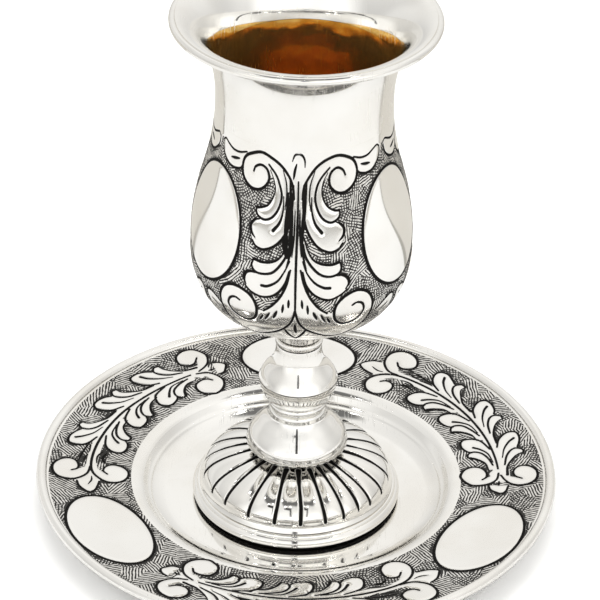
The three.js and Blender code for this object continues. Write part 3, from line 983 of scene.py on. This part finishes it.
# The foot's crown: a short skirt, then a quarter ellipse up to the rod. Each flute stands proud by the swell times
# sine of the way across it; each cut sinks by its depth where the distance to its line is under half its width.
def makeFoot(settings):
    low, high, _ = span("foot_dome")
    edge, sheet, columns = settings["radius"], settings["sheet"], settings["columns"]
    skirt = smoothLine(np.add(settings["skirt"], (edge, low)), 8)
    shoulder = skirt[-1, 1]
    turn = np.linspace(0, settings["crownTurn"], 130)
    crown = np.stack([edge * np.cos(turn), shoulder + (high - shoulder) * np.sin(turn) / math.sin(turn[-1])], 1)
    outer = np.vstack([skirt[:-1], crown, [(bore, high)]])
    inner = wallBehind(outer, sheet)[::-1][::5]
    inner = inner[(inner[:, 1] > low) & (inner[:, 0] > bore)]
    inner[-1] = (skirt[0, 0] - sheet, low)
    section = np.vstack([outer, [(bore, high - sheet)], inner])
    front = len(outer)
    angle = wholeTurn * np.arange(columns) / columns
    lines = np.sort(np.radians([270 - a for a in flutesLeft] + [270 + a for a in flutesRight]) % wholeTurn)
    lengths = lengthAlong(outer)
    gap = fluteGap(outer, lengths, angle, lines, shoulder, settings)
    after = np.searchsorted(lines, angle) % len(lines)
    start, stop = lines[after - 1], lines[after]
    across = ((angle - start) % wholeTurn) / ((stop - start) % wholeTurn)
    bend = lengths[len(skirt)]
    fade = softStep(outer[:, 0], *settings["swellAt"]) * softStep(lengths, bend - 1.0, bend + 2.5)
    swell = (np.abs(np.sin(math.pi * across)) ** 0.6 - 0.55)[:, None] * fade * settings["swell"]
    lift = np.zeros((columns, len(section)))
    edges, place = lift + 1, np.zeros((*lift.shape, 2))
    lift[:, :front] = swell - settings["cutDepth"] * (1 - softStep(gap, *settings["cutFlank"]))
    edges[:, :front] = np.minimum(gap, 1)
    place[..., 0] = angle[:, None] * edge
    place[:, :front, 1] = lengths
    makePiece("foot_fluted", "foot_dome", section, columns, engravedSilver, "engraved_silver", sharp=0,
              lift=lift, marks={"edge": edges}, place=place, front=front)


# The plain moulding round the foot, painted black below its undercut as a painted shadow under the rim.
def makeFootRim(settings):
    low, high, radius = span("foot_rim")
    inner, foot = radius - settings["width"], low + settings["undercut"]
    ring = np.vstack([
        [(inner, low), (radius - 0.8, low)],
        np.add(settings["moulding"], (radius, foot)),
        [(radius - 1.5, high), (inner, high)],
    ])
    ring = roundedCorners(ring, settings["rounding"])
    # painted shadow: every outer point below the undercut goes black, standing in for the shade under the foot's rim
    dark = np.where(ring[:, 0] > inner + 0.1, ring[:, 1] - foot, 1.0)
    makePiece("foot_moulding", "foot_rim", ring, settings["columns"], engravedSilver, "engraved_silver", sharp=60,
              marks={"edge": dark})


makeFoot(footSettings)
makeFootRim(footSettings["rim"])
print("foot fluted")


threadSettings = {"pitch": 0.5, "depth": 0.28, "reach": 9.0, "columns": 40, "chamfer": 0.4}
nutSettings = {
    "flat": 3.0,             # half the distance across flats
    "columns": 96,
    "rows": [(-0.05, 0), (0, 0.05), (0, 0.32)],
    "corners": [0, 0, 0.05, 0.42, 0.42, 0.05, 0, 0],    # how far the corners may stand out at each row
}


# The tie rod: its radius is full, less the thread's depth times a triangle wave of (height / pitch - turn),
# which makes a true helix, within reach of either end.
def makeRod(settings):
    low, high, radius = span("tie_rod")
    pitch, reach, columns = settings["pitch"], settings["reach"], settings["columns"]
    lowEnd = np.arange(low + 0.3, low + reach, pitch / 6)
    highEnd = np.arange(high - reach, high - 0.3, pitch / 6)
    heights = np.concatenate([lowEnd, np.linspace(lowEnd[-1] + 1, highEnd[0] - 1, 12), highEnd])
    section = np.vstack([
        [(0, low), (radius - settings["chamfer"], low)],
        np.stack([np.full(len(heights), radius), heights], 1),
        [(radius - settings["chamfer"], high), (0, high)],
    ])
    turn = np.arange(columns)[:, None] / columns
    z = section[None, :, 1]
    wave = np.abs(2 * ((z / pitch - turn) % 1) - 1)
    near = softStep(-np.minimum(z - low, high - z), 0.2 - reach, 1 - reach) * (section[:, 0] > radius - 0.1)
    makePiece("tie_rod_threaded", "tie_rod", section, columns, plainSteel, "steel", sharp=60, looped=False,
              lift=-settings["depth"] * wave * near)


# The nut: a hexagon, flat / cos(angle from the middle of the side), with its corners turned off at both faces.
def makeNut(settings):
    low, high, _ = span("tie_nut")
    flat, columns, side = settings["flat"], settings["columns"], wholeTurn / 6
    hexagon = flat / np.cos((wholeTurn * np.arange(columns) / columns - side / 2) % side - side / 2)
    rows = np.array(settings["rows"])
    above = (rows * (1, -1) + (flat, high))[::-1]
    profile = np.vstack([[(bore, low)], rows + (flat, low), above, [(bore, high)]])
    limit = np.array(settings["corners"])
    lift = np.minimum(hexagon[:, None] - flat, limit) * (limit > 0)
    makePiece("tie_nut_cut", "tie_nut", profile, columns, plainSteel, "steel", sharp=30, lift=lift)


makeRod(threadSettings)
makeRing("tie_washer_turned", "tie_washer", 0.25, 96, material=plainSteel, slot="steel")
makeNut(nutSettings)
makeRing("knop_sleeve", "knop_tube", 0.3, 96)
print("fastening cut")


saucerSettings = {
    "sheet": 0.9,
    "top": [(42.55, 5.6), (43.9, 6.0), (55.4, 6.96), (67.0, 8.36), (67.9, 8.5)],
    "dishEdge": 67.8,
    "engravedFrom": 43.7,
    "hatchedFrom": 44.5,
    "hatchedTo": 66.7,
    "fade": (0.7, 0.7, 1.2),
    "columns": 617,
    "rows": 124,
    "backRows": 16,
    "turned": 1.8,           # degrees that each spray stands off the middle of its third
    "wander": 0.06,
    "sectors": {"right": 30, "left": 150, "front": 270},
    "floorRadius": 34.6,
    "wellEdge": 43.9,
    "wellRise": [(34.5, 0.9), (35.7, 1.05), (37.3, 1.6), (38.75, 2.35), (39.3, 2.95), (40.1, 3.5), (41.15, 4.8)],
    "wellBand": [(41.25, 4.98), (41.9, 5.4), (42.8, 5.75), (43.9, 6.0)],
}
saucerOval = {"away": 60.0, "up": 56.2, "halfWidth": 16.7, "halfHeight": 10.2, "width": 0.8}

# t in degrees from the spray's middle, r in millimetres from the axis
saucerSpray = [
    ([(-28, 55), (-20, 54.9), (-10, 55), (0, 55.3), (10, 55.5), (20, 55.6), (27, 55.6), (30.5, 54.9), (33.2, 53.2),
      (35, 51), (35.3, 48.6), (34.1, 46.6), (31.8, 45.4), (29, 45.4), (26.9, 46.9), (26, 49), (26.3, 50.7),
      (27.6, 51.8), (29.6, 52), (31, 51)], 0.66, "even"),
    ([(27.5, 55.7), (31, 56.2), (33.3, 58.4), (34.1, 61), (33.5, 63.8), (31.4, 65.6), (28.6, 65.7), (26.2, 64.1),
      (25.2, 61.8), (25.7, 59.9), (27.5, 58.9), (29.3, 59.2), (30.3, 60.6)], 0.7, "even"),
    ([(16.5, 57.6), (20.5, 58.3), (25.8, 59.2)], 0.52, "both"),
    ([(17.5, 57.3), (21, 56.8)], 0.38, "both"),
    ([(22, 57.2), (25.8, 58)], 0.38, "both"),
    ([(19.5, 53.2), (22.5, 54.3), (26, 54.2)], 0.45, "both"),
    ([(20, 52.3), (23.5, 52.8), (25.8, 51.5)], 0.75, "both"),
    ([(34.6, 59.3), (37, 58.8), (39, 57.4), (39.9, 56.1), (38.6, 54.6), (36.6, 53.7), (34.8, 53.2)], 0.58, "even"),
    ([(32.3, 55.2), (34.2, 55.3), (36.3, 56.3)], 0.42, "both"),
    ([(-36.2, 57.4), (-38.4, 57), (-39.8, 55.8), (-39.2, 54), (-38, 52.6), (-36, 52.1)], 0.58, "even"),
    ([(-36, 54.8), (-34, 54.8)], 0.6, "both"),
    ([(-33.2, 61), (-31.9, 59.3), (-30, 58.8), (-28.3, 59.8), (-27.6, 61.6), (-28.5, 63.8), (-30.7, 65.2),
      (-33.4, 64.9), (-35.4, 63.2), (-36.1, 60.8), (-35.3, 58.3), (-33.6, 56.6), (-31.2, 55.5)], 0.64, "even"),
    ([(-33, 50.4), (-31.6, 51.5), (-29.4, 51.6), (-27, 50.5), (-26, 48.4), (-26.8, 46.2), (-28.8, 45),
      (-31.2, 44.6), (-33.8, 45.5), (-35.8, 47.5), (-36.2, 50), (-35, 52.4), (-33, 54.1), (-30, 54.8)], 0.68, "even"),
]
saucerUpperLeaf = [
    ([(-16, 57.2), (-12, 57.6), (-9, 59.3), (-7.4, 61), (-7, 62.6)], 0.78, "start"),
    ([(-7, 62.8), (-5.7, 62.9), (-4.7, 61.5), (-5.3, 59.7), (-7.6, 58), (-11.2, 56.9)], 0.58, "even"),
    ([(-7.8, 56.8), (-4.2, 58.1), (-1.6, 60.2), (-0.4, 62)], 0.75, "end"),
    ([(-4.2, 61.8), (-2.6, 62.9), (-0.3, 63.7), (1.8, 63.4), (2.5, 61.7), (1.9, 59.6), (0.2, 57.9), (-2.8, 56.6)],
     0.62, "even"),
]
saucerLowerLeaf = [
    ([(-13, 52.4), (-9.5, 51.9), (-7, 50), (-5.7, 48.2)], 0.84, "end"),
    ([(-5.4, 47.8), (-3.6, 48.3), (-3, 49.8), (-4.2, 51.7), (-7, 53), (-11, 53.9)], 0.6, "even"),
    ([(-9.5, 54), (-5, 53.5), (-2.5, 52), (-0.9, 50.4)], 0.75, "end"),
    ([(-3.2, 49.3), (-1.8, 48), (0.7, 47.4), (3.1, 47.8), (4.2, 49.3), (3.6, 51.5), (1.6, 53.3), (-3, 54.5)],
     0.62, "even"),
]
saucerUpperOutline = [
    (-16, 56.5), *saucerUpperLeaf[0][0][1:4], *saucerUpperLeaf[1][0][:3], *saucerUpperLeaf[3][0][:7], (-1, 56),
]
saucerLowerOutline = [
    (-13, 54.5), (-13, 52.6), *saucerLowerLeaf[0][0][1:3], (-5.5, 47.9), (-3.6, 48.3), (-3.1, 49.2),
    *saucerLowerLeaf[3][0][1:7], (-1, 55),
]
saucerStemOutline = [
    (-34.5, 53), (-34.5, 57.5), (-31, 58), (-20, 57), (27, 57), (30, 57.3), (33.5, 59.5), (35.2, 59.3), (35, 53),
    (30, 53.4), (27, 54), (-28, 54), (-30, 52.4),
]
saucerLeaves = [                               # where each leaf is repeated, its cuts, its outline
    ((-15.3, 0, 16.6), saucerUpperLeaf, saucerUpperOutline),
    ((-15.2, 0, 15.2), saucerLowerLeaf, saucerLowerOutline),
]
saucerLoops = (1, 7, 9, 11, 12)                # cuts of the spray that bound a leaf of their own
saucerCurl = 6                                 # the point where the long stem starts to curl


# degrees and radius to level distances from the axis
def fromPolar(degrees, radius):
    angle = np.radians(degrees)
    return radius * np.cos(angle), radius * np.sin(angle)


# the distance to the saucer's cuts, its hatched ground and its plain metal, over one third
def saucerFields(t, r, settings):
    cuts = list(saucerSpray)
    outlines = [smoothLine(saucerSpray[loop][0], 4) for loop in saucerLoops]
    outlines += [smoothLine(saucerSpray[0][0][saucerCurl:], 4), saucerStemOutline]
    for places, leafCuts, outline in saucerLeaves:
        for place in places:
            cuts += movedCuts(leafCuts, place)
            outlines.append(moved(outline, place))
    edge = edgeDistance(t, r, movedCuts(cuts, settings["turned"]), settings["wander"], fromPolar)
    ovals = ovalCuts(saucerOval)
    edge = np.minimum(edge, edgeDistance(t, r, ovals, 0, fromPolar))
    shape = np.zeros(edge.shape, bool)
    for outline in [moved(points, settings["turned"]) for points in outlines] + [oval[0] for oval in ovals]:
        shape |= inside(t, r, outline)
    band = np.broadcast_to((r > settings["hatchedFrom"]) & (r < settings["hatchedTo"]), edge.shape)
    return edge, *groundAndPlain(band, shape, saucerRelief)


def makeSaucerBorders(settings):
    r = np.linspace(settings["engravedFrom"], settings["dishEdge"], settings["rows"])
    t = np.linspace(-60, 60, settings["columns"] + 1)
    line = smoothLine(settings["top"], 40)
    top = np.stack([r, np.interp(r, line[:, 0], line[:, 1])], 1)[::-1]
    under = wallBehind(top[::-(len(top) // settings["backRows"])], -settings["sheet"])
    under[:, 0] = np.clip(under[:, 0], r[0], r[-1])
    section = np.vstack([top, under])
    fadeIn, *fadeOut = settings["fade"]
    fade = (softStep(r, r[0], r[0] + fadeIn) * softStep(-r, *(np.array(fadeOut) - r[-1])))[::-1]
    for label, degrees in settings["sectors"].items():
        fields = [field[:, ::-1] for field in saucerFields(t, r, settings)]
        place = np.stack(fromPolar(t[:, None] + degrees, section[:, 0]), 2)
        makePanel("saucer_border_" + label, "saucer_dish", section, fields, fade, saucerRelief, degrees, place,
                  material=engravedSaucer, body="saucer")


makeSaucerBorders(saucerSettings)
print("saucer border engraved")


# The saucer's middle: a flat floor, a round rise to a sharp step, and a plain bright band up to the border.
def makeSaucerWell(settings):
    sheet, edge = settings["sheet"], settings["wellEdge"]
    rise, band = (smoothLine(settings[key], 10) for key in ("wellRise", "wellBand"))
    floor = np.stack([np.linspace(4, 34, 12), np.full(12, sheet)], 1)
    top = np.vstack([[(0, sheet)], floor, rise, band])
    under = wallBehind(top, -sheet)
    under = under[under[:, 0] < edge]
    under[under[:, 0] < settings["floorRadius"], 1] = 0
    under[0] = (0, 0)
    under = np.maximum.accumulate(under, axis=0)
    under = np.vstack([under, [(edge, under[-1, 1] + 0.1)]])
    section = np.vstack([under, top[::-1]])
    makePiece("saucer_well", "saucer_dish", section, 240, body="saucer", sharp=50, looped=False)


makeSaucerWell(saucerSettings)
makeWire("saucer_edge", "saucer_rim_wire", body="saucer", **wireSettings["saucer"])
print("saucer closed")


floorSettings = {
    "halfSize": 6.0,
    "colour": (0.95, 0.95, 0.945),
    "mirrorShade": 0.67,                       # how bright the paper is in the metal's mirror
    "surroundColour": (0.475, 0.46, 0.43),     # the floor beyond the sheet
    "sheetHalfWidth": 0.9,
    "sheetBack": 0.094,
    "sheetSlant": 0.088,
    "soft": 0.004,
    "edgeLine": 0.008,
    "edgeColour": (0.28, 0.27, 0.25),
    "roughness": 0.7,
    "shine": 0.2,
}


# White paper. Mirrors in the metal see it as a duller sheet of limited width, with a dark line along its slanting
# back edge and darker floor beyond.
def makeFloor(settings):
    half, back = settings["halfSize"], settings["sheetBack"]
    mesh = bpy.data.meshes.new("floor")
    mesh.from_pydata([(-half, -half, 0), (half, -half, 0), (half, half, 0), (-half, half, 0)], [], [(0, 1, 2, 3)])
    floor = newObject("floor", mesh)
    material, tree, shader = newMaterial("floor paper")
    apart = addNode(tree, "SeparateXYZ", {"Vector": addNode(tree, "TexCoord")["Object"]})
    aside = math1(tree, "ABSOLUTE", apart["X"])
    along = math1(tree, "MULTIPLY_ADD", apart["X"], settings["sheetSlant"], apart["Y"])
    past = [
        remap(tree, value, end - settings["soft"], end + settings["soft"], 0, 1)
        for value, end in ((aside, settings["sheetHalfWidth"]), (along, back))
    ]
    line = settings["edgeLine"]
    edge = math1(tree, "ABSOLUTE", math1(tree, "SUBTRACT", along, back + line / 2))
    edge = remap(tree, edge, line / 2, line, 1, 0)
    paper = tuple(part * settings["mirrorShade"] for part in settings["colour"])
    mirror = mixColour(tree, math1(tree, "MAXIMUM", *past), paper, settings["surroundColour"])
    mirror = mixColour(tree, edge, mirror, settings["edgeColour"])
    plug(tree, shader, {
        "Base Color": mixColour(tree, addNode(tree, "LightPath")["Is Glossy Ray"], settings["colour"], mirror),
        "Roughness": settings["roughness"],
        "Specular IOR Level": settings["shine"],
    })
    mesh.materials.append(material)


skySettings = {
    "shades": [(0.0, 1.0), (0.49, 1.0), (0.53, 0.72), (0.68, 0.83), (0.88, 0.97)],    # height, 0 to 1, and shade
    "tint": (1, 0.99, 0.965),
    "patchScale": 1.1,
    "patches": (0.35, 0.65, 0.88, 1.08),
    "front": (-0.70, -0.25, 1, 0),
    "frontColour": (1.27, 1.265, 1.24),
    "gapWidth": (0.035, 0.045, 1, 0),
    "flag": ((0.03, 0.04, 1, 0), (0.87, 0.88, 0, 1)),
    "flagLeft": (-0.27, -0.26, 0, 1),
    "gapHeight": ((0.50, 0.52, 0, 1), (0.925, 0.935, 1, 0)),
    "gapFront": (-0.02, 0.0, 1, 0),
    "gapDark": 0.95,
    "zenith": (0.91, 0.95, 0, 1),
    "zenithBack": (-0.30, -0.20, 0, 1),
    "ceiling": 0.18,
    "spotScale": 7.0,
    "spot": (0.11, 0.198, 14.0, 0),
    "spotHeight": (0.90, 0.92, 0, 1),
    "backdrop": (0.95, 0.95, 0.945),
}


# The surroundings, by direction: a ramp from bright below, through duller at the level, to bright above; broad soft
# patches; a white front wall with a dark gap and flag in it; a dim ceiling behind the front wall, with small bright
# lights. The camera itself sees a plain backdrop.
def makeSky(settings):
    world = bpy.data.worlds.new("studio")
    world.use_nodes = True
    tree = world.node_tree
    direction = addNode(tree, "TexCoord")["Generated"]
    x, y, z = addNode(tree, "SeparateXYZ", {"Vector": direction})
    ramp = tree.nodes.new("ShaderNodeValToRGB")
    plug(tree, ramp, {"Fac": math1(tree, "MULTIPLY_ADD", z, 0.5, 0.5)})
    stops = ramp.color_ramp.elements
    stops[1].position = settings["shades"][1][0]
    while len(stops) < len(settings["shades"]):
        stops.new(0.5)
    for stop, (place, shade) in zip(stops, settings["shades"]):
        stop.position = place
        stop.color = [shade * part for part in settings["tint"]] + [1]
    front = remap(tree, y, *settings["front"])
    shade = mixColour(tree, front, ramp.outputs["Color"], settings["frontColour"])
    strength = remap(tree, noise(tree, direction, settings["patchScale"], 0.0), *settings["patches"])
    narrow = remap(tree, math1(tree, "ABSOLUTE", x), *settings["gapWidth"])
    flag = remap(tree, x, *settings["flagLeft"])
    flag = masked(tree, flag, (x, *settings["flag"][0]), (z, *settings["flag"][1]))
    gap = math1(tree, "MAXIMUM", narrow, flag)
    gap = masked(tree, gap, *((z, *step) for step in settings["gapHeight"]), (y, *settings["gapFront"]))
    above = masked(tree, remap(tree, z, *settings["zenith"]), (y, *settings["zenithBack"]))
    for mask, amount in ((gap, -settings["gapDark"]), (above, settings["ceiling"] - 1)):
        strength = math1(tree, "MULTIPLY", strength, math1(tree, "MULTIPLY_ADD", mask, amount, 1.0))
    spots = addNode(tree, "TexVoronoi", {"Vector": direction, "Scale": settings["spotScale"]})["Distance"]
    spot = masked(tree, remap(tree, spots, *settings["spot"]), (z, *settings["spotHeight"]))
    seen = addNode(tree, "LightPath")["Is Camera Ray"]
    plug(tree, tree.nodes["Background"], {
        "Color": mixColour(tree, seen, shade, settings["backdrop"]),
        "Strength": math1(tree, "MAXIMUM", math1(tree, "ADD", strength, spot), seen),
    })
    bpy.context.scene.world = world


lamps = {                    # place, size, power
    "left softbox": ((-0.9, -0.5, 0.9), (0.7, 0.9), 7.0),
    "right softbox": ((0.9, -0.3, 0.8), (0.5, 0.9), 5.6),
    "top softbox": ((0.0, 0.3, 1.3), (0.9, 0.6), 7.0),
}


# A soft lamp that faces the middle of the table. It lights the paper; the metal mirrors the surroundings.
def makeLamp(name, place, size, power):
    data = bpy.data.lights.new(name, "AREA")
    data.shape = "RECTANGLE"
    data.size, data.size_y = size
    data.energy = power
    lamp = newObject(name, data)
    lamp.visible_glossy = False
    lamp.matrix_world = Matrix.Translation(place) @ (-Vector(place)).to_track_quat("-Z", "Y").to_matrix().to_4x4()


makeFloor(floorSettings)
makeSky(skySettings)
for lampName, lampSettings in lamps.items():
    makeLamp(lampName, *lampSettings)
bpy.context.scene.view_settings.view_transform = "Standard"
print("studio lit")
